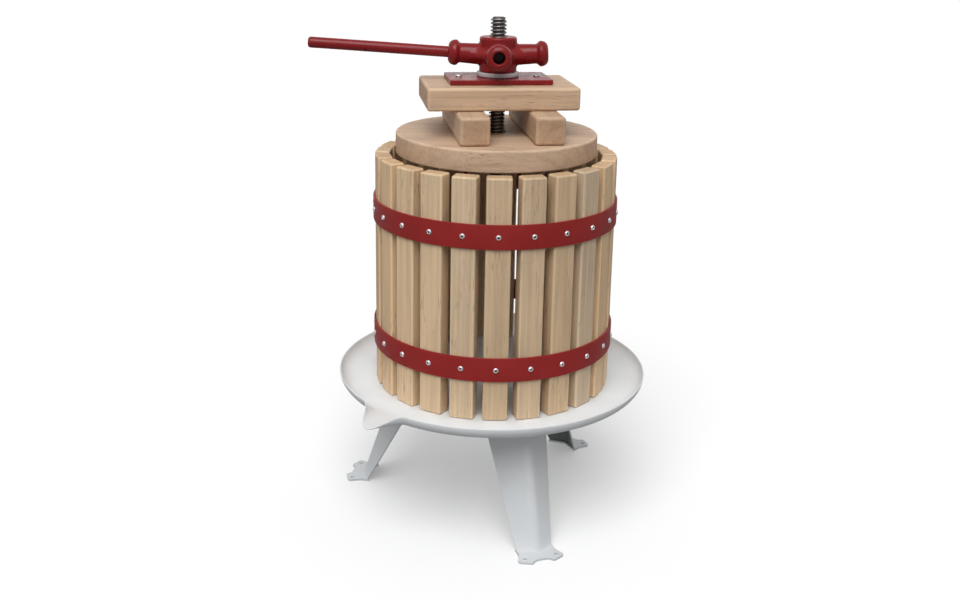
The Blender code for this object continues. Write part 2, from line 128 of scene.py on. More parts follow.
# Screw: a right-hand trapezoidal thread of 18 by 4.
THREAD_PITCH = 0.004
THREAD_DEPTH = 0.00225
THREAD_STEPS = 36
THREAD_RADIUS = 0.009
THREAD_EASE = 0.0002
SCREW_CHAMFER = 0.0025
SCREW_HEAD_CORNER = 0.0165
TOUCHING_GAP = 0.0003

# Basket.
STAVE_FIRST_ANGLE = math.radians(1.86)
STAVE_WIDTH = 0.027
STAVE_THICKNESS = 0.017
STAVE_FACE_RADIUS = 0.137
STAVE_ROUNDING = 0.0021
HOOP_SHEET = 0.002
HOOP_ROUNDING = 0.0006
RIVET_RADIUS = 0.0030
RIVET_PIT_RADIUS = 0.0010
RIVET_TILT = 0.05
STAVE_TONE_SPREAD = 0.10

# Pressing head.
HEAD_TURN = math.radians(9.0)
BLOCK_LENGTH = 0.180
BLOCK_WIDTH = 0.0325
BLOCK_OFFSETS = {"spacer_block_left": -0.0365, "spacer_block_right": 0.0445}
BEAM_LENGTH = 0.168
BEAM_WIDTH = 0.106
WOOD_ROUNDING = 0.0036
DISC_ROUNDING = 0.0026
HEAD_HOLE_RADIUS = 0.0105
PLATE_LENGTH = 0.114
PLATE_WIDTH = 0.069
PLATE_CORNER = 0.0035
PLATE_ROUNDING = 0.0009
PLATE_SCREW_PILOT = 0.0020
WASHER_ROUNDING = 0.0013
DISC_PITH = (2.3, 0.155, 0.052)
DISC_TONE = (0.99, 1.01, 1.04)
BEAM_PITH = (4.1, 0.030, -0.075)
BEAM_TONE = (1.02, 1.01, 1.0)
BLOCK_TONE = 0.93
BLOCK_TONE_SPREAD = 0.04

# Hub casting with four sockets, and its bar.
HUB_RADIUS = 0.0208
HUB_HEIGHT = 0.0385
HUB_BORE_RADIUS = 0.0093
HUB_TURN = math.radians(1.4)
SOCKET_RISE = math.radians(3.1)
SOCKET_SHARE = 0.46
SOCKET_LENGTH = 0.056
SOCKET_DEPTH = 0.037
SOCKET_HOLE_RADIUS = 0.0066
ARM_ROOT_RADIUS = 0.0118
ARM_NECK_RADIUS = 0.0109
ARM_RING_RADIUS = 0.0142
ARM_TAPER_START = 0.018
ARM_TAPER_LENGTH = 0.022
ARM_BACK_ROUNDING = 0.0010
HUB_TOP_ROUNDING = 0.0028
HUB_BOTTOM_ROUNDING = 0.0018
HUB_BORE_ENTRY = 0.0016
ARM_FILLET = 0.0030
ARM_WEB = 0.0250
ARM_WEB_RISE = 0.0125
ARM_WEB_LEAST = 0.2
MOUTH_ROUNDING = 0.0092
MOUTH_FLARE_START = 0.0422
MOUTH_FLARE_LENGTH = 0.0050
SOCKET_EDGE_ROUNDING = 0.0016
BORE_EDGE_ROUNDING = 0.0008
BAR_RADIUS = 0.0061
BAR_TIP = 0.2113
BAR_TIP_ROUNDING = 0.0040
# The hub's mesh starts as voxels, and its points are then moved onto its smooth distance field.
HUB_VOXEL = 0.0008
HUB_MOVES = 14
HUB_MOVE_LIMIT = 0.0006
HUB_NUDGE = 0.00005

rng = random.Random(23)


# ---------------------------------------------------------------- node trees

class Recipe:
    """A material's node tree, with short ways to add linked nodes."""

    def __init__(self, name):
        self.material = bpy.data.materials.new(name)
        self.material.use_nodes = True
        self.tree = self.material.node_tree
        self.shader = self.tree.nodes["Principled BSDF"]

    def set(self, target, value):
        if isinstance(value, bpy.types.NodeSocket):
            self.tree.links.new(value, target)
        else:
            target.default_value = value

    def add(self, kind, inputs, output=0, **settings):
        node = self.tree.nodes.new(kind)
        for key, value in settings.items():
            setattr(node, key, value)
        for key, value in inputs.items():
            self.set(node.inputs[key], value)
        return node.outputs[output]

    def attribute(self, name, output="Fac"):
        node = self.tree.nodes.new("ShaderNodeAttribute")
        node.attribute_name = name
        return node.outputs[output]

    def object_place(self):
        return self.tree.nodes.new("ShaderNodeTexCoord").outputs["Object"]

    def stretched(self, place, along, across):
        return self.add("ShaderNodeVectorMath", {0: place, 1: (along, across, across)}, operation="MULTIPLY")

    def noise(self, place, scale=1.0, detail=2.0, roughness=0.5):
        inputs = {"Vector": place, "Scale": scale, "Detail": detail, "Roughness": roughness}
        return self.add("ShaderNodeTexNoise", inputs)

    def grained(self, grain, cycles, detail, roughness=0.5):
        """Noise drawn out along the fibres: cycles per metre along them, and across them."""
        return self.noise(self.stretched(grain, *cycles), 1.0, detail, roughness)

    def math(self, operation, *values):
        return self.add("ShaderNodeMath", dict(enumerate(values)), operation=operation)

    def ranged(self, value, low, high, out_low=0.0, out_high=1.0):
        inputs = {"Value": value, "From Min": low, "From Max": high, "To Min": out_low, "To Max": out_high}
        return self.add("ShaderNodeMapRange", inputs, interpolation_type="SMOOTHSTEP")

    def mixed(self, share, first, second, blend="MIX"):
        """Blend two colours; inputs 6 and 7 and output 2 are the node's colour sockets."""
        return self.add("ShaderNodeMix", {0: share, 6: first, 7: second}, output=2,
                        data_type="RGBA", blend_type=blend)

    def bump(self, height, distance, strength=1.0):
        return self.add("ShaderNodeBump", {"Height": height, "Distance": distance, "Strength": strength})

    def finish(self, **sockets):
        for key, value in sockets.items():
            self.set(self.shader.inputs[key.replace("_", " ")], value)
        return self.material


def colour(red, green, blue):
    return (red, green, blue, 1.0)


WHITE = colour(1.0, 1.0, 1.0)


# Wood grain, in cycles per metre along and across the fibres.
RING_DRIFT = (5.0, 22.0)
RING_WANDER = 0.014
STREAKS = (6.0, 300.0)
FIBRES = (22.0, 1100.0)
CLOUDS = (9.0, 45.0)
SPOTS = (75.0, 1250.0)
SPOT_PATCHES = (14.0, 60.0)
FIBRE_SHARE = 0.18
WOOD_BUMP = 0.0004
CLOUD_PALE = colour(1.06, 1.05, 1.03)
CLOUD_DEEP = colour(0.92, 0.91, 0.89)
# Painted highlight: how much lighter the wood's rounded edges are made.
PAINTED_CORNER_HIGHLIGHT = colour(1.16, 1.17, 1.18)


def wood(name, pale, deep, end_tint, fleck, ring_width, figure, streaking, flecking):
    """Planed wood. The attribute grain holds metres, with X along the fibres and the pith at y = z = 0."""
    recipe = Recipe(name)
    grain = recipe.attribute("grain", "Vector")
    drift = recipe.grained(grain, RING_DRIFT, 3.0)
    flattened = recipe.stretched(grain, 0.0, 1.0)
    across = recipe.add("ShaderNodeVectorMath", {0: flattened}, output="Value", operation="LENGTH")
    wandering = recipe.math("MULTIPLY_ADD", drift, RING_WANDER, across)
    phase = recipe.math("PINGPONG", recipe.math("MULTIPLY", wandering, 1.0 / ring_width), 0.5)
    rings = recipe.ranged(phase, 0.18, 0.48)
    streaks = recipe.ranged(recipe.grained(grain, STREAKS, 4.0, 0.6), 0.36, 0.70, 0.0, streaking)
    fibres = recipe.grained(grain, FIBRES, 2.0)
    patches = recipe.ranged(recipe.grained(grain, SPOT_PATCHES, 1.0), 0.40, 0.62)
    spots = recipe.ranged(recipe.grained(grain, SPOTS, 1.0), 0.60, 0.72)
    flecks = recipe.math("MULTIPLY", spots, patches)
    share = recipe.math("MULTIPLY_ADD", rings, figure, streaks)
    share = recipe.math("MULTIPLY_ADD", recipe.ranged(fibres, 0.35, 0.68, -0.5, 0.5), FIBRE_SHARE, share)

    base = recipe.mixed(share, pale, deep)
    base = recipe.mixed(recipe.math("MULTIPLY", flecks, flecking), base, fleck)
    base = recipe.mixed(recipe.math("MULTIPLY", recipe.attribute("ends"), 0.75), base, end_tint, "MULTIPLY")
    clouds = recipe.ranged(recipe.grained(grain, CLOUDS, 2.0), 0.3, 0.7)
    base = recipe.mixed(1.0, base, recipe.mixed(clouds, CLOUD_PALE, CLOUD_DEEP), "MULTIPLY")
    base = recipe.mixed(1.0, base, recipe.attribute("tone", "Color"), "MULTIPLY")
    # Painted highlight on the rounded edges of the wood.
    corners = recipe.math("MULTIPLY", recipe.attribute("edge"), 0.8)
    base = recipe.mixed(corners, base, PAINTED_CORNER_HIGHLIGHT, "MULTIPLY")

    rough = recipe.math("MULTIPLY_ADD", share, 0.14, recipe.math("MULTIPLY_ADD", flecks, 0.12, 0.50))
    height = recipe.math("MULTIPLY", fibres, 0.5)
    height = recipe.math("SUBTRACT", height, recipe.math("MULTIPLY", flecks, 0.8))
    height = recipe.math("SUBTRACT", height, recipe.math("MULTIPLY", share, 0.35))
    return recipe.finish(Base_Color=base, Roughness=rough, Normal=recipe.bump(height, WOOD_BUMP, 0.7))


# Scales of the noises in paint and metal, in cycles per metre.
PAINT_CLOUDS = 26.0
PAINT_SMEARS = 70.0
PAINT_CHIPS = 240.0
PAINT_GRIT = 420.0
PAINT_PEEL = 760.0
METAL_CLOUDS = 130.0
METAL_FINE = 950.0
# Painted shade: what the legs keep of the tray's brightness, and what their inner faces keep of that.
PAINTED_LEG_SHADE = colour(0.86, 0.865, 0.87)
PAINTED_INSIDE_SHADE = colour(0.20, 0.20, 0.195)
ZINC_METALLIC = 0.72
SCREW_METALLIC = 0.92
# Painted shade: near black for the hollow of a rivet's head.
RIVET_PIT_PAINTED_SHADE = colour(0.040, 0.034, 0.038)
# Dark colour towards the roots of the screw's thread.
THREAD_ROOT_TINT = colour(0.120, 0.115, 0.110)


def paint(name, base, shade, worn, rough_low, rough_high, peel, sheen=0.5):
    """Paint or powder coat: slight clouding, orange peel, and a little wear on the sharpest edges."""
    recipe = Recipe(name)
    place = recipe.object_place()
    clouds = recipe.ranged(recipe.noise(place, PAINT_CLOUDS, 3.0), 0.32, 0.68)
    chips = recipe.ranged(recipe.noise(place, PAINT_CHIPS, 4.0, 0.65), 0.52, 0.60)
    rubbed = recipe.math("MULTIPLY", recipe.attribute("edge"), chips)
    tint = recipe.mixed(clouds, base, shade)
    tint = recipe.mixed(recipe.math("MULTIPLY", rubbed, 0.45), tint, worn)
    # Painted shade: the legs take a darker copy of the coat, and their inner faces a darker one still.
    tint = recipe.mixed(recipe.attribute("shade"), tint, PAINTED_LEG_SHADE, "MULTIPLY")
    tint = recipe.mixed(recipe.attribute("inside_painted_shade"), tint, PAINTED_INSIDE_SHADE, "MULTIPLY")
    rough = recipe.ranged(recipe.noise(place, PAINT_SMEARS, 3.0), 0.3, 0.7, rough_low, rough_high)
    grit = recipe.noise(place, PAINT_GRIT, 2.0)
    height = recipe.math("MULTIPLY_ADD", grit, 0.5, recipe.noise(place, PAINT_PEEL, 1.5))
    return recipe.finish(Base_Color=tint, Roughness=rough, Normal=recipe.bump(height, peel),
                         Specular_IOR_Level=sheen)


def metal(name, base, shade, rough_low, rough_high, scratch):
    """Plated metal with cloudy tarnish; the attribute pit gives a rivet's hollow painted shade."""
    recipe = Recipe(name)
    place = recipe.object_place()
    clouds = recipe.noise(place, METAL_CLOUDS, 4.0, 0.6)
    tint = recipe.mixed(recipe.ranged(clouds, 0.34, 0.66), base, shade)
    # Painted shade in the hollow of a rivet's head.
    tint = recipe.mixed(recipe.attribute("pit"), tint, RIVET_PIT_PAINTED_SHADE)
    rough = recipe.ranged(clouds, 0.3, 0.7, rough_low, rough_high)
    normal = recipe.bump(recipe.noise(place, METAL_FINE, 2.0), scratch)
    return recipe.finish(Base_Color=tint, Roughness=rough, Metallic=ZINC_METALLIC, Normal=normal)


def root_darkened_steel(name, base, shade, scratch):
    """Machined screw: lighter on the crests of its thread, and darker towards its roots."""
    recipe = Recipe(name)
    place = recipe.object_place()
    clouds = recipe.noise(place, METAL_CLOUDS, 4.0, 0.6)
    crest = recipe.ranged(recipe.attribute("crest"), 0.15, 0.95)
    tint = recipe.mixed(crest, THREAD_ROOT_TINT, recipe.mixed(recipe.ranged(clouds, 0.35, 0.65), base, shade))
    rough = recipe.math("MULTIPLY_ADD", clouds, 0.25, recipe.ranged(crest, 0.0, 1.0, 0.42, 0.22))
    normal = recipe.bump(recipe.noise(place, METAL_FINE, 2.0), scratch)
    return recipe.finish(Base_Color=tint, Roughness=rough, Metallic=SCREW_METALLIC, Normal=normal)


FINISHES = {
    "white_coat": paint("white_powder_coat", colour(0.786, 0.806, 0.820), colour(0.751, 0.771, 0.785),
                        colour(0.70, 0.70, 0.70), 0.34, 0.46, 0.00005),
    "zinc": metal("zinc_plate", colour(0.90, 0.89, 0.91), colour(0.70, 0.69, 0.72), 0.32, 0.46, 0.00002),
    "screw_steel": root_darkened_steel("machined_steel", colour(0.40, 0.395, 0.39), colour(0.29, 0.285, 0.28),
                                0.00004),
    "stave_wood": wood("stave_beech", colour(0.690, 0.515, 0.338), colour(0.500, 0.355, 0.220),
                       colour(0.86, 0.78, 0.70), colour(0.25, 0.16, 0.09), 0.0052, 0.19, 0.46, 0.62),
    "head_wood": wood("head_beech", colour(0.610, 0.430, 0.295), colour(0.450, 0.295, 0.185),
                      colour(0.86, 0.76, 0.68), colour(0.22, 0.13, 0.08), 0.0110, 0.22, 0.40, 0.60),
    "hoop_red": paint("hoop_paint", colour(0.302, 0.020, 0.019), colour(0.272, 0.017, 0.016),
                      colour(0.34, 0.05, 0.04), 0.36, 0.48, 0.00003, 0.26),
    "cast_red": paint("casting_paint", colour(0.245, 0.012, 0.014), colour(0.215, 0.010, 0.012),
                      colour(0.32, 0.05, 0.045), 0.22, 0.34, 0.00004, 0.28),
    "washer_plastic": paint("pale_plastic", colour(0.50, 0.46, 0.47), colour(0.45, 0.41, 0.42),
                            colour(0.55, 0.52, 0.52), 0.34, 0.50, 0.00004),
}


# ---------------------------------------------------------------- meshes

def around(angle):
    """Place a shape built about Z towards -Y at an angle around the screw."""
    return Matrix.Translation(AXIS) @ Matrix.Rotation(angle, 4, "Z")


def low_high(node):
    low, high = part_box(node)
    return low.z, high.z


def reach(node):
    """How far a CAD node reaches from the screw's axis."""
    vertices = frame["nodes"][node].data.vertices
    return max(math.hypot(v.co.x - AXIS.x, v.co.y - AXIS.y) for v in vertices)


def softened(points, steps=4):
    """An outline whose corners (x, y, rounding) are turned into short curves."""
    smooth = []
    for index, (x, y, rounding) in enumerate(points):
        corner = Vector((x, y))
        if rounding == 0.0:
            smooth.append(corner)
            continue
        before = Vector(points[index - 1][:2]) - corner
        after = Vector(points[(index + 1) % len(points)][:2]) - corner
        start = corner + before.normalized() * min(rounding, 0.49 * before.length)
        end = corner + after.normalized() * min(rounding, 0.49 * after.length)
        for step in range(steps + 1):
            u = step / steps
            smooth.append(start * (1 - u) ** 2 + corner * (2 * u * (1 - u)) + end * u ** 2)
    return smooth


def revolved(profile, sides):
    """Turn a closed outline of (radius, height) about Z; a radius of zero is a point on the axis."""
    bm = bmesh.new()
    rings = []
    for radius, height in profile:
        if radius < 1e-7:
            rings.append([bm.verts.new((0.0, 0.0, height))])
            continue
        turns = [2 * math.pi * side / sides for side in range(sides)]
        rings.append([bm.verts.new((radius * math.cos(t), radius * math.sin(t), height)) for t in turns])
    for lower, upper in zip(rings, rings[1:] + rings[:1]):
        if len(lower) == 1 and len(upper) == 1:
            continue
        for side in range(sides):
            after = (side + 1) % sides
            corners = [lower[side % len(lower)], lower[after % len(lower)],
                       upper[after % len(upper)], upper[side % len(upper)]]
            bm.faces.new(list(dict.fromkeys(corners)))
    return bm


def ring_profile(inner, outer, low, high, rounding):
    corners = ((inner, low), (outer, low), (outer, high), (inner, high))
    return softened([(*corner, rounding) for corner in corners])


def rod_profile(radius, low, high, rounding):
    corners = [(0.0, low, 0.0), (radius, low, rounding), (radius, high, rounding), (0.0, high, 0.0)]
    return softened(corners, 6)


def board(length, width, thickness, rounding, segments=3):
    """A board about the origin with its fibres along X and every edge rounded."""
    bm = bmesh.new()
    bmesh.ops.create_cube(bm, size=1.0)
    bmesh.ops.scale(bm, vec=Vector((length, width, thickness)), verts=bm.verts)
    bmesh.ops.bevel(bm, geom=bm.edges[:], offset=rounding, segments=segments, profile=0.5, affect="EDGES")
    return bm


def extruded(outline, low, high):
    bm = bmesh.new()
    face = bm.faces.new([bm.verts.new((point[0], point[1], low)) for point in outline])
    risen = bmesh.ops.extrude_face_region(bm, geom=[face])
    top = [item for item in risen["geom"] if isinstance(item, bmesh.types.BMVert)]
    bmesh.ops.translate(bm, vec=(0.0, 0.0, high - low), verts=top)
    return bm


def prism(corners, radius, low, high):
    """A regular prism about Z, with a corner towards +X."""
    turns = [2 * math.pi * side / corners for side in range(corners)]
    return extruded([(radius * math.cos(t), radius * math.sin(t)) for t in turns], low, high)


def placed(bm, matrix):
    bm.transform(matrix)
    return bm


def to_mesh(name, bm):
    bmesh.ops.recalc_face_normals(bm, faces=bm.faces)
    mesh = bpy.data.meshes.new(name)
    bm.to_mesh(mesh)
    bm.free()
    return mesh


def carved(name, bm, cutters, operation="DIFFERENCE"):
    """Cut shapes out of a mesh, or join or intersect them, and return the result as a mesh."""
    base = bpy.data.objects.new(name, to_mesh(name, bm))
    bpy.context.scene.collection.objects.link(base)
    tools = []
    for cutter in cutters:
        tool = bpy.data.objects.new("tool", to_mesh("tool", cutter))
        bpy.context.scene.collection.objects.link(tool)
        step = base.modifiers.new("carve", "BOOLEAN")
        step.operation = operation
        step.solver = "EXACT"
        step.object = tool
        tools.append(tool)
    bpy.context.view_layer.update()
    mesh = bpy.data.meshes.new_from_object(base.evaluated_get(bpy.context.evaluated_depsgraph_get()))
    mesh.name = name
    for used in tools + [base]:
        bpy.data.objects.remove(used)
    return mesh


def face_values(mesh, name, values):
    layer = mesh.attributes.new(name, "FLOAT", "FACE")
    layer.data.foreach_set("value", np.asarray(values, np.float32))


def point_values(mesh, name, values):
    layer = mesh.attributes.new(name, "FLOAT", "POINT")
    layer.data.foreach_set("value", np.asarray(values, np.float32))


def mark_edges(mesh):
    """Note which faces belong to rounded edges: those that face none of the piece's own axes."""
    face_values(mesh, "edge", [float(max(abs(c) for c in face.normal) < 0.99) for face in mesh.polygons])


def mark_rims(mesh):
    """Note which faces of a turned piece are rounded edges: those facing neither along Z nor across it."""
    face_values(mesh, "edge", [float(0.1 < abs(face.normal.z) < 0.99) for face in mesh.polygons])


def mark_wood(mesh, pith, tone):
    """Give wood its fibres: its place in the log, how much each face shows end grain, and its tint."""
    points = np.zeros(len(mesh.vertices) * 3, np.float32)
    mesh.vertices.foreach_get("co", points)
    points = points.reshape(-1, 3) + np.array(pith, np.float32)
    mesh.attributes.new("grain", "FLOAT_VECTOR", "POINT").data.foreach_set("vector", points.ravel())
    face_values(mesh, "ends", [max(0.0, abs(face.normal.x) - 0.5) * 2.0 for face in mesh.polygons])
    tints = np.tile(np.array((*tone, 1.0), np.float32), len(mesh.vertices))
    mesh.attributes.new("tone", "FLOAT_COLOR", "POINT").data.foreach_set("color", tints)


def link_piece(name, mesh, place, finish, body, slot, sharp=35.0, flat_faces=False):
    mesh.transform(place)
    mesh.materials.clear()
    mesh.materials.append(finish)
    mesh.shade_smooth()
    mesh.set_sharp_from_angle(angle=math.radians(sharp))
    piece = bpy.data.objects.new(name, mesh)
    bpy.context.scene.collection.objects.link(piece)
    if flat_faces:
        piece.modifiers.new("flat_faces", "WEIGHTED_NORMAL").keep_sharp = True
    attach(piece, body)
    return piece


def stand_in(node, mesh, place=Matrix(), **options):
    """Show a finer mesh in place of one CAD node, on the same body and with its slot's finish."""
    slot = SLOT_OF[node]
    piece = link_piece(f"{node}_look", mesh, place, FINISHES[slot], BODY_OF[node], slot, **options)
    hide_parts(node)
    return piece


# ---------------------------------------------------------------- tray and legs

def spout_share(angle):
    offset = abs(math.remainder(angle - SPOUT_ANGLE, 2 * math.pi)) / SPOUT_HALF_ANGLE
    return math.cos(offset * math.pi / 2) ** 2 if offset < 1.0 else 0.0


def tray_line(angle):
    """Upper-surface points (radius, height above the tray's floor) from the centre hole to the rim."""
    share = spout_share(angle)
    rim_radius = TRAY_RIM_RADIUS + SPOUT_REACH * share ** SPOUT_POINT
    rise = TRAY_GUTTER_DEPTH + TRAY_RIM_RISE - SPOUT_DROP * share
    wall = TRAY_WALL_REACH + SPOUT_REACH * share
    gutter = rim_radius - wall
    points = [Vector((SCREW_HOLE_RADIUS, 0.0)), Vector((0.06, 0.0)), Vector((0.11, 0.0))]
    for step in range(TRAY_GUTTER_STEPS):
        part = step / TRAY_GUTTER_STEPS
        points.append(Vector((TRAY_GUTTER_START + (gutter - TRAY_GUTTER_START) * part,
                              -0.5 * TRAY_GUTTER_DEPTH * (1 - math.cos(math.pi * part)))))
    for step in range(TRAY_WALL_STEPS + 1):
        turn = TRAY_WALL_TURN * step / TRAY_WALL_STEPS
        risen = rise * (1 - math.cos(turn)) / (1 - math.cos(TRAY_WALL_TURN))
        points.append(Vector((gutter + wall * math.sin(turn) / math.sin(TRAY_WALL_TURN),
                              risen - TRAY_GUTTER_DEPTH)))
    return points


def build_tray():
    floor = low_high("screw_lock_nut")[0] - TOUCHING_GAP
    bm = bmesh.new()
    loops = []
    for side in range(TRAY_SIDES):
        angle = 2 * math.pi * side / TRAY_SIDES
        line = tray_line(angle)
        upper = []
        lower = []
        for index, point in enumerate(line):
            along = (line[min(index + 1, len(line) - 1)] - line[max(index - 1, 0)]).normalized()
            upper.append(point)
            lower.append(point + TRAY_SHEET * Vector((along.y, -along.x)))
        middle = 0.5 * (upper[-1] + lower[-1])
        half = 0.5 * (upper[-1] - lower[-1])
        lip = [middle + half * math.cos(t) + Vector((half.y, -half.x)) * math.sin(t)
               for t in (math.pi * step / 6 for step in range(1, 6))]
        ahead = Vector((math.sin(angle), -math.cos(angle), 0.0))
        section = upper + lip + lower[::-1]
        loops.append([bm.verts.new(ahead * p.x + Vector((0.0, 0.0, floor + p.y))) for p in section])
    for first, second in zip(loops, loops[1:] + loops[:1]):
        for index in range(len(first)):
            after = (index + 1) % len(first)
            bm.faces.new((first[index], first[after], second[after], second[index]))
    holes = [placed(prism(24, BOLT_HOLE_RADIUS, floor - 0.01, floor + 0.01), matrix)
             for matrix in leg_bolt_places().values()]
    mesh = carved("tray", bm, holes)
    stand_in("tray", mesh, Matrix.Translation(AXIS))


def leg_bolt_places():
    """Placement of each leg bolt, without the shift to the screw's axis."""
    places = {}
    for leg, angle in LEG_ANGLES.items():
        for number, side in enumerate((-1, 1)):
            shift = Matrix.Translation((side * LEG_BOLT_OFFSET, -LEG_BOLT_RADIUS, 0.0))
            places[f"{leg}_{number + 1}"] = Matrix.Rotation(angle, 4, "Z") @ shift
    return places


def leg_section(radius, face, fold, height):
    """Cross-section of a leg that faces -Y: a strip with a rounded crease in its middle."""
    bend = LEG_CREASE / math.sin(fold)
    turns = [fold * step / LEG_CREASE_STEPS for step in range(LEG_CREASE_STEPS + 1)]
    half = [Vector((bend * math.sin(t), bend * (1 - math.cos(t)))) for t in turns]
    end = Vector((face * math.cos(fold), face * math.sin(fold)))
    half += [half[-1].lerp(end, 0.5), end]
    outer = [Vector((-p.x, p.y)) for p in half[:0:-1]] + half
    inner = []
    for index, point in enumerate(outer):
        along = (outer[min(index + 1, len(outer) - 1)] - outer[max(index - 1, 0)]).normalized()
        inner.append(point + Vector((-along.y, along.x)) * LEG_SHEET)
    return [Vector((p.x, -radius + p.y, height)) for p in outer + inner[::-1]]


def leg_mesh():
    flange_top = LEG_FLANGE_TOP
    low = 0.5 * FOOT_SHEET
    high = flange_top - 0.5 * LEG_SHEET
    bm = bmesh.new()
    bottom = leg_section(LEG_FOOT_RADIUS, LEG_FOOT_FACE, LEG_FOOT_FOLD, low)
    top = leg_section(LEG_TOP_RADIUS, LEG_TOP_FACE, LEG_TOP_FOLD, high)
    rows = []
    for step in range(LEG_ROWS + 1):
        rows.append([bm.verts.new(a.lerp(b, step / LEG_ROWS)) for a, b in zip(bottom, top)])
    for lower, upper in zip(rows, rows[1:]):
        for index in range(len(lower)):
            after = (index + 1) % len(lower)
            bm.faces.new((lower[index], lower[after], upper[after], upper[index]))
    bm.faces.new(rows[0])
    bm.faces.new(rows[-1])

    outline = FOOT_HALF + [(-x, y, r) for x, y, r in FOOT_HALF[-2:0:-1]]
    foot = extruded([(p.x, -p.y) for p in softened(outline)], 0.0, FOOT_SHEET)
    edge = LEG_TOP_RADIUS - FLANGE_INSET
    side = LEG_TOP_FACE * math.cos(LEG_TOP_FOLD)
    back = edge - LEG_TOP_FACE * math.sin(LEG_TOP_FOLD)
    wide = side - FLANGE_SIDE_INSET
    narrow = side - FLANGE_REAR_INSET
    rear = back - FLANGE_REAR_INSET
    flange_outline = [(0.0, edge), (wide, back), (narrow, rear), (-narrow, rear), (-wide, back)]
    flange = extruded([(x, -y) for x, y in flange_outline], flange_top - LEG_SHEET, flange_top)
    joined = carved("leg_joined", bm, [foot, flange], "UNION")
    holes = []
    for side in (-1, 1):
        foot_place = Matrix.Translation((side * FOOT_HOLE_PLACE[1], -FOOT_HOLE_PLACE[0], 0.0))
        bolt_place = Matrix.Translation((side * LEG_BOLT_OFFSET, -LEG_BOLT_RADIUS, 0.0))
        holes.append(placed(prism(28, FOOT_HOLE_RADIUS, -0.01, 0.01), foot_place))
        holes.append(placed(prism(24, BOLT_HOLE_RADIUS, flange_top - 0.01, flange_top + 0.01), bolt_place))
    whole = bmesh.new()
    whole.from_mesh(joined)
    mesh = carved("leg", whole, holes)
    # Painted shade: every face of a leg is darkened against the tray's coat.
    face_values(mesh, "shade", [1.0] * len(mesh.polygons))
    # Inner faces of a leg get painted shade: a much darker tint.
    inside_painted_shade = []
    for face in mesh.polygons:
        on_sheet = FOOT_SHEET < face.center.z < flange_top - LEG_SHEET
        inside_painted_shade.append(float(on_sheet and face.normal.y > INSIDE_SHARE * abs(face.normal.x)))
    face_values(mesh, "inside_painted_shade", inside_painted_shade)
    return mesh


def hexagon(corner_radius, low, high, bore=None):
    """A hexagon nut or bolt head with its corners chamfered at both ends."""
    chamfer = 0.10 * corner_radius
    inset = corner_radius - chamfer
    drop = 0.6 * chamfer
    outside = revolved([(0.0, low), (inset, low), (corner_radius, low + drop), (corner_radius, high - drop),
                        (inset, high), (0.0, high)], 48)
    shape = carved("hexagon", prism(6, corner_radius * 0.999, low, high), [outside], "INTERSECT")
    if bore is None:
        return shape
    bm = bmesh.new()
    bm.from_mesh(shape)
    entry = 0.0008
    past = 0.001
    mouth = bore + entry + past
    hole = revolved([(0.0, low - past), (mouth, low - past), (bore, low + entry), (bore, high - entry),
                     (mouth, high + past), (0.0, high + past)], 32)
    return carved("hexagon", bm, [hole])


def build_leg_fasteners():
    low, high = low_high("bolt_leg_front_1")
    head = high - BOLT_HEAD_HEIGHT
    outline = [(0.0, low, 0.0), (BOLT_RADIUS - 0.0007, low, 0.0), (BOLT_RADIUS, low + 0.0007, 0.0),
               (BOLT_RADIUS, head, 0.0), (BOLT_HEAD_RADIUS, head, 0.0002),
               (BOLT_HEAD_RADIUS - 0.0001, head + 0.0014, 0.0006), (0.0042, head + 0.0030, 0.0009),
               (0.0, high, 0.0)]
    socket = prism(6, BOLT_SOCKET_RADIUS, head + 0.0012, high + 0.001)
    bolt = carved("bolt", revolved(softened(outline), 32), [socket])
    nut_low, nut_high = low_high("nut_leg_front_1")
    nut = hexagon(LEG_NUT_CORNER, nut_low, nut_high, LEG_NUT_BORE)
    for name, matrix in leg_bolt_places().items():
        stand_in(f"bolt_{name}", bolt.copy(), Matrix.Translation(AXIS) @ matrix)
        stand_in(f"nut_{name}", nut.copy(), Matrix.Translation(AXIS) @ matrix)


# ---------------------------------------------------------------- screw

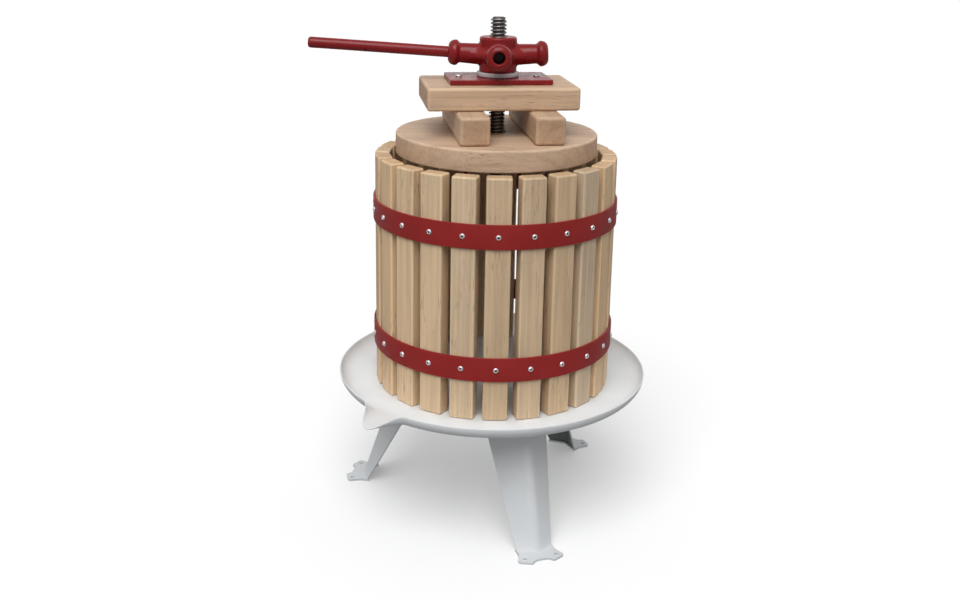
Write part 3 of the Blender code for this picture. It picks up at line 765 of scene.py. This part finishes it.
def build_screw():
    low, top = low_high("screw")
    nut_low, nut_high = low_high("screw_lock_nut")
    washer_low, washer_high = low_high("screw_washer")
    head_top = washer_low - TOUCHING_GAP
    major = THREAD_RADIUS
    minor = major - THREAD_DEPTH
    foot = minor + THREAD_EASE
    brow = major - THREAD_EASE
    # One turn of the thread: share of the pitch, and radius.
    profile = [(0.00, minor), (0.31, minor), (0.34, foot), (0.47, brow), (0.50, major), (0.81, major),
               (0.84, brow), (0.97, foot)]
    start = head_top - 0.001
    turns = math.ceil((top - start) / THREAD_PITCH) + 3
    bm = bmesh.new()
    grid = []
    for step in range(turns * THREAD_STEPS):
        angle = 2 * math.pi * step / THREAD_STEPS
        row = []
        for share, radius in profile:
            height = start + THREAD_PITCH * (step / THREAD_STEPS + share - 2.0)
            limited = min(radius, major - SCREW_CHAMFER + max(0.0, top - height))
            row.append(bm.verts.new((limited * math.cos(angle), limited * math.sin(angle), height)))
        grid.append(row)
    count = len(profile)
    for step in range(len(grid) - THREAD_STEPS - 1):
        for index in range(count):
            row, column = (step, index + 1) if index + 1 < count else (step + THREAD_STEPS, 0)
            bm.faces.new((grid[step][index], grid[step + 1][index], grid[row + 1][column], grid[row][column]))
    for height, side in ((start, -1.0), (top, 1.0)):
        geometry = bm.verts[:] + bm.edges[:] + bm.faces[:]
        sliced = bmesh.ops.bisect_plane(bm, geom=geometry, plane_co=(0.0, 0.0, height),
                                        plane_no=(0.0, 0.0, side), clear_outer=True)
        rim = [item for item in sliced["geom_cut"] if isinstance(item, bmesh.types.BMEdge)]
        bmesh.ops.holes_fill(bm, edges=rim, sides=0)
    bm.from_mesh(hexagon(SCREW_HEAD_CORNER, low, head_top))
    mesh = to_mesh("screw", bm)
    reaches = [math.hypot(v.co.x, v.co.y) for v in mesh.vertices]
    point_values(mesh, "crest", [min(1.0, max(0.0, (r - minor) / THREAD_DEPTH)) for r in reaches])
    stand_in("screw", mesh, Matrix.Translation(AXIS), sharp=60.0)

    ring = ring_profile(SCREW_HOLE_RADIUS, reach("screw_washer"), washer_low, washer_high, 0.0005)
    stand_in("screw_washer", to_mesh("screw_washer", revolved(ring, 64)), Matrix.Translation(AXIS))
    nut = hexagon(reach("screw_lock_nut"), nut_low, nut_high, SCREW_HOLE_RADIUS)
    stand_in("screw_lock_nut", nut, Matrix.Translation(AXIS))


# ---------------------------------------------------------------- basket

# Turns a board so that its length stands along Z and its width lies along X.
UPRIGHT = Matrix(((0.0, 1.0, 0.0), (0.0, 0.0, 1.0), (1.0, 0.0, 0.0))).to_4x4()


def random_pith():
    """A place in the log: far along it, and 25 to 90 mm from its centre."""
    turn = rng.uniform(0.0, 2 * math.pi)
    away = rng.uniform(0.025, 0.090)
    return (rng.uniform(1.0, 9.0), away * math.cos(turn), away * math.sin(turn))


def random_tone(spread, middle=1.0):
    """A tint for one board, varied in brightness and in warmth."""
    bright = middle + rng.uniform(-spread, spread)
    warm = rng.uniform(-spread, spread)
    return (bright * (1.0 + 0.4 * warm), bright * (1.0 - 0.1 * warm), bright * (1.0 - 0.9 * warm))


def build_staves():
    staves = sorted(node for node, slot in SLOT_OF.items() if slot == "stave_wood")
    low, high = low_high(staves[0])
    for number, node in enumerate(staves):
        angle = STAVE_FIRST_ANGLE + 2 * math.pi * number / len(staves)
        mesh = to_mesh(node, board(high - low, STAVE_WIDTH, STAVE_THICKNESS, STAVE_ROUNDING))
        mark_edges(mesh)
        mark_wood(mesh, random_pith(), random_tone(STAVE_TONE_SPREAD))
        depth = 0.5 * STAVE_THICKNESS - STAVE_FACE_RADIUS
        place = around(angle) @ Matrix.Translation((0.0, depth, 0.5 * (low + high))) @ UPRIGHT
        stand_in(node, mesh, place, flat_faces=True)
    return len(staves)


def rivet():
    """Head of a pop rivet about Z: a shallow dome with a pit, and the broken stem in the pit."""
    outline = [(0.0, -0.0006, 0.0), (RIVET_RADIUS, -0.0006, 0.0), (RIVET_RADIUS, 0.0003, 0.0003),
               (0.0021, 0.0015, 0.0006), (0.0014, 0.0016, 0.0002), (RIVET_PIT_RADIUS, 0.0001, 0.0002),
               (0.0, 0.0002, 0.0)]
    mesh = to_mesh("rivet", revolved(softened(outline, 3), 24))
    reaches = [math.hypot(v.co.x, v.co.y) for v in mesh.vertices]
    in_pit = [r < RIVET_PIT_RADIUS + 0.0001 and v.co.z > -0.0005 for r, v in zip(reaches, mesh.vertices)]
    # Marks the hollow that gets painted shade.
    point_values(mesh, "pit", in_pit)
    return mesh


def build_hoops(count):
    for node in ("hoop_lower", "hoop_upper"):
        low, high = low_high(node)
        outer = reach(node)
        profile = ring_profile(outer - HOOP_SHEET, outer, low, high, HOOP_ROUNDING)
        band = to_mesh(node, revolved(profile, 8 * count))
        mark_rims(band)
        stand_in(node, band, Matrix.Translation(AXIS))
        joined = bmesh.new()
        for number in range(count):
            angle = STAVE_FIRST_ANGLE + 2 * math.pi * number / count
            nod = Matrix.Rotation(rng.uniform(-RIVET_TILT, RIVET_TILT), 4, "X")
            sway = Matrix.Rotation(rng.uniform(-RIVET_TILT, RIVET_TILT), 4, "Y")
            place = Matrix.Rotation(angle, 4, "Z") @ Matrix.Translation((0.0, -outer, 0.5 * (low + high)))
            one = rivet()
            one.transform(place @ Matrix.Rotation(0.5 * math.pi, 4, "X") @ nod @ sway)
            joined.from_mesh(one)
        name = node.replace("hoop", "rivets")
        mesh = to_mesh(name, joined)
        link_piece(name, mesh, Matrix.Translation(AXIS), FINISHES["zinc"], BODY_OF[node], "zinc")


# ---------------------------------------------------------------- pressing head

def build_disc():
    low, high = low_high("pressing_disc")
    profile = ring_profile(HEAD_HOLE_RADIUS, reach("pressing_disc"), 0.0, high - low, DISC_ROUNDING)
    mesh = to_mesh("pressing_disc", revolved(profile, 160))
    mark_rims(mesh)
    mark_wood(mesh, DISC_PITH, DISC_TONE)
    stand_in("pressing_disc", mesh, around(0.0) @ Matrix.Translation((0.0, 0.0, low)))


def build_blocks():
    for node, offset in BLOCK_OFFSETS.items():
        low, high = low_high(node)
        mesh = to_mesh(node, board(BLOCK_LENGTH, BLOCK_WIDTH, high - low, WOOD_ROUNDING, 4))
        mark_edges(mesh)
        mark_wood(mesh, random_pith(), random_tone(BLOCK_TONE_SPREAD, BLOCK_TONE))
        shift = Matrix.Translation((offset, 0.0, 0.5 * (low + high)))
        crosswise = Matrix.Rotation(0.5 * math.pi, 4, "Z")
        stand_in(node, mesh, around(HEAD_TURN) @ shift @ crosswise, flat_faces=True)


def plate_screw_places():
    offset = 0.5 * (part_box("plate_screw_2")[0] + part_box("plate_screw_2")[1]) - AXIS
    distance = math.hypot(offset.x, offset.y)
    return {"plate_screw_1": -distance, "plate_screw_2": distance}


def head_holes(pilot_low):
    """Cutters for the screw's hole and for the plate's two screws, which go down to the given height."""
    cutters = [prism(64, HEAD_HOLE_RADIUS, -0.05, 0.05)]
    for offset in plate_screw_places().values():
        pilot = prism(20, PLATE_SCREW_PILOT, pilot_low, 0.05)
        cutters.append(placed(pilot, Matrix.Translation((offset, 0.0, 0.0))))
    return cutters


def build_beam_and_plate():
    low, high = low_high("crossbeam")
    shift = Matrix.Translation((0.0, 0.0, 0.5 * (low + high)))
    beam = board(BEAM_LENGTH, BEAM_WIDTH, high - low, WOOD_ROUNDING, 4)
    mesh = carved("crossbeam", beam, head_holes(-0.004))
    mark_edges(mesh)
    mark_wood(mesh, BEAM_PITH, BEAM_TONE)
    stand_in("crossbeam", mesh, around(HEAD_TURN) @ shift, flat_faces=True)

    low, high = low_high("pressure_plate")
    half_length = 0.5 * PLATE_LENGTH
    half_width = 0.5 * PLATE_WIDTH
    corners = ((-half_length, -half_width), (half_length, -half_width), (half_length, half_width),
               (-half_length, half_width))
    bm = extruded(softened([(*corner, PLATE_CORNER) for corner in corners]), 0.0, high - low)
    rims = [edge for edge in bm.edges if abs(edge.verts[0].co.z - edge.verts[1].co.z) < 1e-6]
    bmesh.ops.bevel(bm, geom=rims, offset=PLATE_ROUNDING, segments=3, profile=0.5, affect="EDGES")
    mesh = carved("pressure_plate", bm, head_holes(-0.05))
    mark_rims(mesh)
    lift = Matrix.Translation((0.0, 0.0, low))
    stand_in("pressure_plate", mesh, around(HEAD_TURN) @ lift, flat_faces=True)


def build_plate_screws():
    """Pan-head wood screws with a cross slot."""
    for node, offset in plate_screw_places().items():
        low, high = low_high(node)
        head = high - 0.0022
        outline = [(0.0, low, 0.0), (0.0017, low + 0.004, 0.0), (0.0017, head, 0.0), (0.0040, head, 0.0002),
                   (0.0038, head + 0.0010, 0.0005), (0.0024, head + 0.0021, 0.0007), (0.0, high, 0.0)]
        lift = Matrix.Translation((0.0, 0.0, high + 0.0002))
        slots = []
        for turn in (0.25 * math.pi, 0.75 * math.pi):
            slot = board(0.0044, 0.0009, 0.0030, 0.0001, 1)
            slots.append(placed(slot, lift @ Matrix.Rotation(turn, 4, "Z")))
        mesh = carved(node, revolved(softened(outline), 32), slots)
        stand_in(node, mesh, around(HEAD_TURN) @ Matrix.Translation((offset, 0.0, 0.0)))


def build_thrust_washer():
    low, high = low_high("thrust_washer")
    profile = ring_profile(HEAD_HOLE_RADIUS, reach("thrust_washer"), low, high, WASHER_ROUNDING)
    mesh = to_mesh("thrust_washer", revolved(profile, 96))
    stand_in("thrust_washer", mesh, Matrix.Translation(AXIS))


# ---------------------------------------------------------------- hub and bar

def smooth_max(first, second, blend):
    """Larger of two distance fields, with the edge between them rounded over a blend distance."""
    share = np.clip(0.5 - 0.5 * (second - first) / blend, 0.0, 1.0)
    return second + (first - second) * share + blend * share * (1.0 - share)


def smooth_min(first, second, blend):
    return -smooth_max(-first, -second, blend)


def eased(value, start, width):
    share = np.clip((value - start) / width, 0.0, 1.0)
    return share * share * (3.0 - 2.0 * share)


def socket_direction(index):
    angle = HUB_TURN + 0.5 * math.pi * index
    level = math.cos(SOCKET_RISE)
    return np.array((math.sin(angle) * level, -math.cos(angle) * level, math.sin(SOCKET_RISE)))


def arm_radius(along):
    """Radius of an arm at a distance along it: a taper to the neck, then the ring at its mouth."""
    share = np.clip((along - ARM_TAPER_START) / ARM_TAPER_LENGTH, 0.0, 1.0)
    taper = ARM_ROOT_RADIUS + (ARM_NECK_RADIUS - ARM_ROOT_RADIUS) * share
    flare = (ARM_RING_RADIUS - ARM_NECK_RADIUS) * eased(along, MOUTH_FLARE_START, MOUTH_FLARE_LENGTH)
    return taper + flare


def hub_field(points, height):
    """Signed distance, near enough, from the hub's surface; the points are taken from its bottom centre."""
    across = np.hypot(points[:, 0], points[:, 1])
    solid = smooth_max(across - HUB_RADIUS, points[:, 2] - height, HUB_TOP_ROUNDING)
    solid = smooth_max(solid, -points[:, 2], HUB_BOTTOM_ROUNDING)
    centre = np.array((0.0, 0.0, SOCKET_SHARE * height))
    arms = []
    holes = []
    for index in range(4):
        direction = socket_direction(index)
        away = points - centre
        along = away @ direction
        radial = np.linalg.norm(away - np.outer(along, direction), axis=1)
        arm = smooth_max(radial - arm_radius(along), along - SOCKET_LENGTH, MOUTH_ROUNDING)
        arms.append(smooth_max(arm, -along, ARM_BACK_ROUNDING))
        holes.append(np.maximum(radial - SOCKET_HOLE_RADIUS, SOCKET_LENGTH - SOCKET_DEPTH - along))
    rise = (points[:, 2] - centre[2]) / ARM_WEB_RISE
    blend = ARM_WEB * np.clip(1.0 - rise ** 2, ARM_WEB_LEAST, 1.0)
    webs = [smooth_min(arm, arms[index - 1], blend) for index, arm in enumerate(arms)]
    solid = smooth_min(solid, np.minimum.reduce(webs), ARM_FILLET)
    solid = smooth_max(solid, -np.minimum.reduce(holes), SOCKET_EDGE_ROUNDING)
    entry = HUB_BORE_RADIUS + np.maximum(0.0, points[:, 2] - (height - HUB_BORE_ENTRY))
    return smooth_max(solid, entry - across, BORE_EDGE_ROUNDING)


def build_hub():
    """The casting: the CAD hub as voxels, drawn onto a field with fillets and webs between its arms."""
    rough = bpy.data.objects.new("hub_rough", frame["nodes"]["hub_nut"].data.copy())
    bpy.context.scene.collection.objects.link(rough)
    remesh = rough.modifiers.new("voxels", "REMESH")
    remesh.mode = "VOXEL"
    remesh.voxel_size = HUB_VOXEL
    bpy.context.view_layer.update()
    mesh = bpy.data.meshes.new_from_object(rough.evaluated_get(bpy.context.evaluated_depsgraph_get()))
    bpy.data.objects.remove(rough)
    base = AXIS + Vector((0.0, 0.0, HUB_LOW))
    mesh.transform(Matrix.Translation(-base))
    points = np.zeros(len(mesh.vertices) * 3)
    mesh.vertices.foreach_get("co", points)
    points = points.reshape(-1, 3)
    for _ in range(HUB_MOVES):
        slope = np.zeros_like(points)
        for axis in range(3):
            step = np.zeros(3)
            step[axis] = HUB_NUDGE
            change = hub_field(points + step, HUB_HEIGHT) - hub_field(points - step, HUB_HEIGHT)
            slope[:, axis] = change / (2 * HUB_NUDGE)
        steep = np.maximum((slope ** 2).sum(axis=1), 0.2)
        move = np.clip(hub_field(points, HUB_HEIGHT) / steep, -HUB_MOVE_LIMIT, HUB_MOVE_LIMIT)
        points -= slope * move[:, None]
    mesh.vertices.foreach_set("co", points.astype(np.float32).ravel())
    mesh.update()
    stand_in("hub_nut", mesh, Matrix.Translation(base), sharp=75.0)


def build_bar():
    low = SOCKET_LENGTH - SOCKET_DEPTH + 0.0005
    mesh = to_mesh("handle_bar", revolved(rod_profile(BAR_RADIUS, low, BAR_TIP, BAR_TIP_ROUNDING), 48))
    mark_rims(mesh)
    direction = Vector(socket_direction(3))
    turn = Vector((0.0, 0.0, 1.0)).rotation_difference(direction).to_matrix().to_4x4()
    stand_in("handle_bar", mesh, Matrix.Translation(AXIS + Vector((0.0, 0.0, SOCKET_HEIGHT))) @ turn)


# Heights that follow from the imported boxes.
LEG_FLANGE_TOP = low_high("screw_washer")[1]
HUB_LOW = low_high("hub_nut")[0]
SOCKET_HEIGHT = HUB_LOW + SOCKET_SHARE * HUB_HEIGHT


# ---------------------------------------------------------------- studio

# Radiance of the studio: its walls behind and in front of the press, its ceiling, and its ground.
WALL_BEHIND = 0.88
WALL_FRONT = 0.44
CEILING = 0.47
GROUND = 0.27
FLOOR_GLOW = 0.24
FLOOR_SIZE = 40.0
BACKDROP_RADIUS = 14.0
# The key light: angle around from the front, height above the horizon, how wide it looks, and its
# irradiance as a share of what a white sky gives.
KEY_AZIMUTH = math.radians(-9.0)
KEY_ELEVATION = math.radians(54.0)
KEY_SPREAD = math.radians(45.0)
KEY_SHARE = 0.70


def stage_piece(name, bm, finish):
    """A piece of the studio that bounced rays don't see."""
    piece = bpy.data.objects.new(name, to_mesh(name, bm))
    piece.data.materials.append(finish)
    piece.visible_diffuse = False
    piece.visible_glossy = False
    bpy.context.scene.collection.objects.link(piece)
    return piece


def build_floor():
    """A pale floor; bounced rays pass through it, so the ground's share of the light is set in the world."""
    bm = bmesh.new()
    bmesh.ops.create_grid(bm, x_segments=1, y_segments=1, size=FLOOR_SIZE)
    finish = Recipe("studio_floor").finish(Base_Color=colour(0.75, 0.75, 0.75), Roughness=0.8,
                                           Specular_IOR_Level=0.1, Emission_Color=WHITE,
                                           Emission_Strength=FLOOR_GLOW)
    stage_piece("studio_floor", bm, finish)


def build_backdrop():
    """A white wall all round that only the camera sees, so that a low view doesn't show the floor's end."""
    bm = bmesh.new()
    bmesh.ops.create_cone(bm, cap_ends=False, segments=96, radius1=BACKDROP_RADIUS, radius2=BACKDROP_RADIUS,
                          depth=BACKDROP_RADIUS)
    finish = Recipe("studio_backdrop").finish(Base_Color=colour(0.0, 0.0, 0.0), Specular_IOR_Level=0.0,
                                              Emission_Color=WHITE, Emission_Strength=1.0)
    stage_piece("studio_backdrop", bm, finish).visible_shadow = False


def build_world():
    """Soft light from all round: brightest from behind the press, dimmer from its front and the ground."""
    world = bpy.data.worlds.new("studio")
    world.use_nodes = True
    bpy.context.scene.world = world
    nodes = world.node_tree.nodes
    links = world.node_tree.links
    direction = nodes.new("ShaderNodeSeparateXYZ")
    links.new(nodes.new("ShaderNodeTexCoord").outputs["Generated"], direction.inputs[0])
    level = WALL_FRONT
    # Axis of the direction, where along it the change starts and ends, and the radiance past its end.
    changes = (("Y", 0.15, 0.75, WALL_BEHIND), ("Z", 0.25, 0.60, CEILING), ("Z", 0.02, -0.08, GROUND))
    for axis, start, end, beyond in changes:
        step = nodes.new("ShaderNodeMapRange")
        links.new(direction.outputs[axis], step.inputs["Value"])
        step.inputs["From Min"].default_value = start
        step.inputs["From Max"].default_value = end
        if isinstance(level, float):
            step.inputs["To Min"].default_value = level
        else:
            links.new(level, step.inputs["To Min"])
        step.inputs["To Max"].default_value = beyond
        level = step.outputs["Result"]
    links.new(level, nodes["Background"].inputs["Strength"])
    nodes["Background"].inputs["Color"].default_value = WHITE


def build_key():
    sun = bpy.data.lights.new("key", "SUN")
    sun.energy = KEY_SHARE * math.pi
    sun.angle = KEY_SPREAD
    holder = bpy.data.objects.new("key", sun)
    bpy.context.scene.collection.objects.link(holder)
    level = math.cos(KEY_ELEVATION)
    towards = Vector((math.sin(KEY_AZIMUTH) * level, -math.cos(KEY_AZIMUTH) * level, math.sin(KEY_ELEVATION)))
    holder.rotation_euler = towards.to_track_quat("Z", "Y").to_euler()


# Camera: its eye measured from the foot of the screw's axis, how it is turned, its focal length as a
# share of the picture's width, and how far the picture is shifted.
EYE = Vector((0.0, -1.2495, 0.6786))
YAW = math.radians(-0.775)
PITCH = math.radians(15.273)
ROLL = math.radians(-0.989)
SENSOR_WIDTH = 36.0
FOCAL_SHARE = 1116.9 / 960.0
SHIFT_Y = -0.08


def build_camera():
    camera = bpy.data.cameras.new("camera")
    camera.sensor_width = SENSOR_WIDTH
    camera.lens = FOCAL_SHARE * SENSOR_WIDTH
    camera.shift_y = SHIFT_Y
    holder = bpy.data.objects.new("camera", camera)
    bpy.context.scene.collection.objects.link(holder)
    level = math.cos(PITCH)
    forward = Vector((math.sin(YAW) * level, math.cos(YAW) * level, -math.sin(PITCH)))
    right = Vector((math.cos(YAW), -math.sin(YAW), 0.0))
    down = forward.cross(right)
    tilted_right = right * math.cos(ROLL) + down * math.sin(ROLL)
    tilted_down = down * math.cos(ROLL) - right * math.sin(ROLL)
    matrix = Matrix((tilted_right, -tilted_down, -forward)).transposed().to_4x4()
    matrix.translation = AXIS + EYE
    holder.matrix_world = matrix
    bpy.context.scene.camera = holder


build_tray()
leg = leg_mesh()
for leg_name, leg_angle in LEG_ANGLES.items():
    stand_in(leg_name, leg.copy(), around(leg_angle))
build_leg_fasteners()
build_screw()
stave_count = build_staves()
build_hoops(stave_count)
build_disc()
build_blocks()
build_beam_and_plate()
build_plate_screws()
build_thrust_washer()
build_hub()
build_bar()
build_floor()
build_backdrop()
build_world()
build_key()
build_camera()
bpy.context.scene.view_settings.view_transform = "Standard"
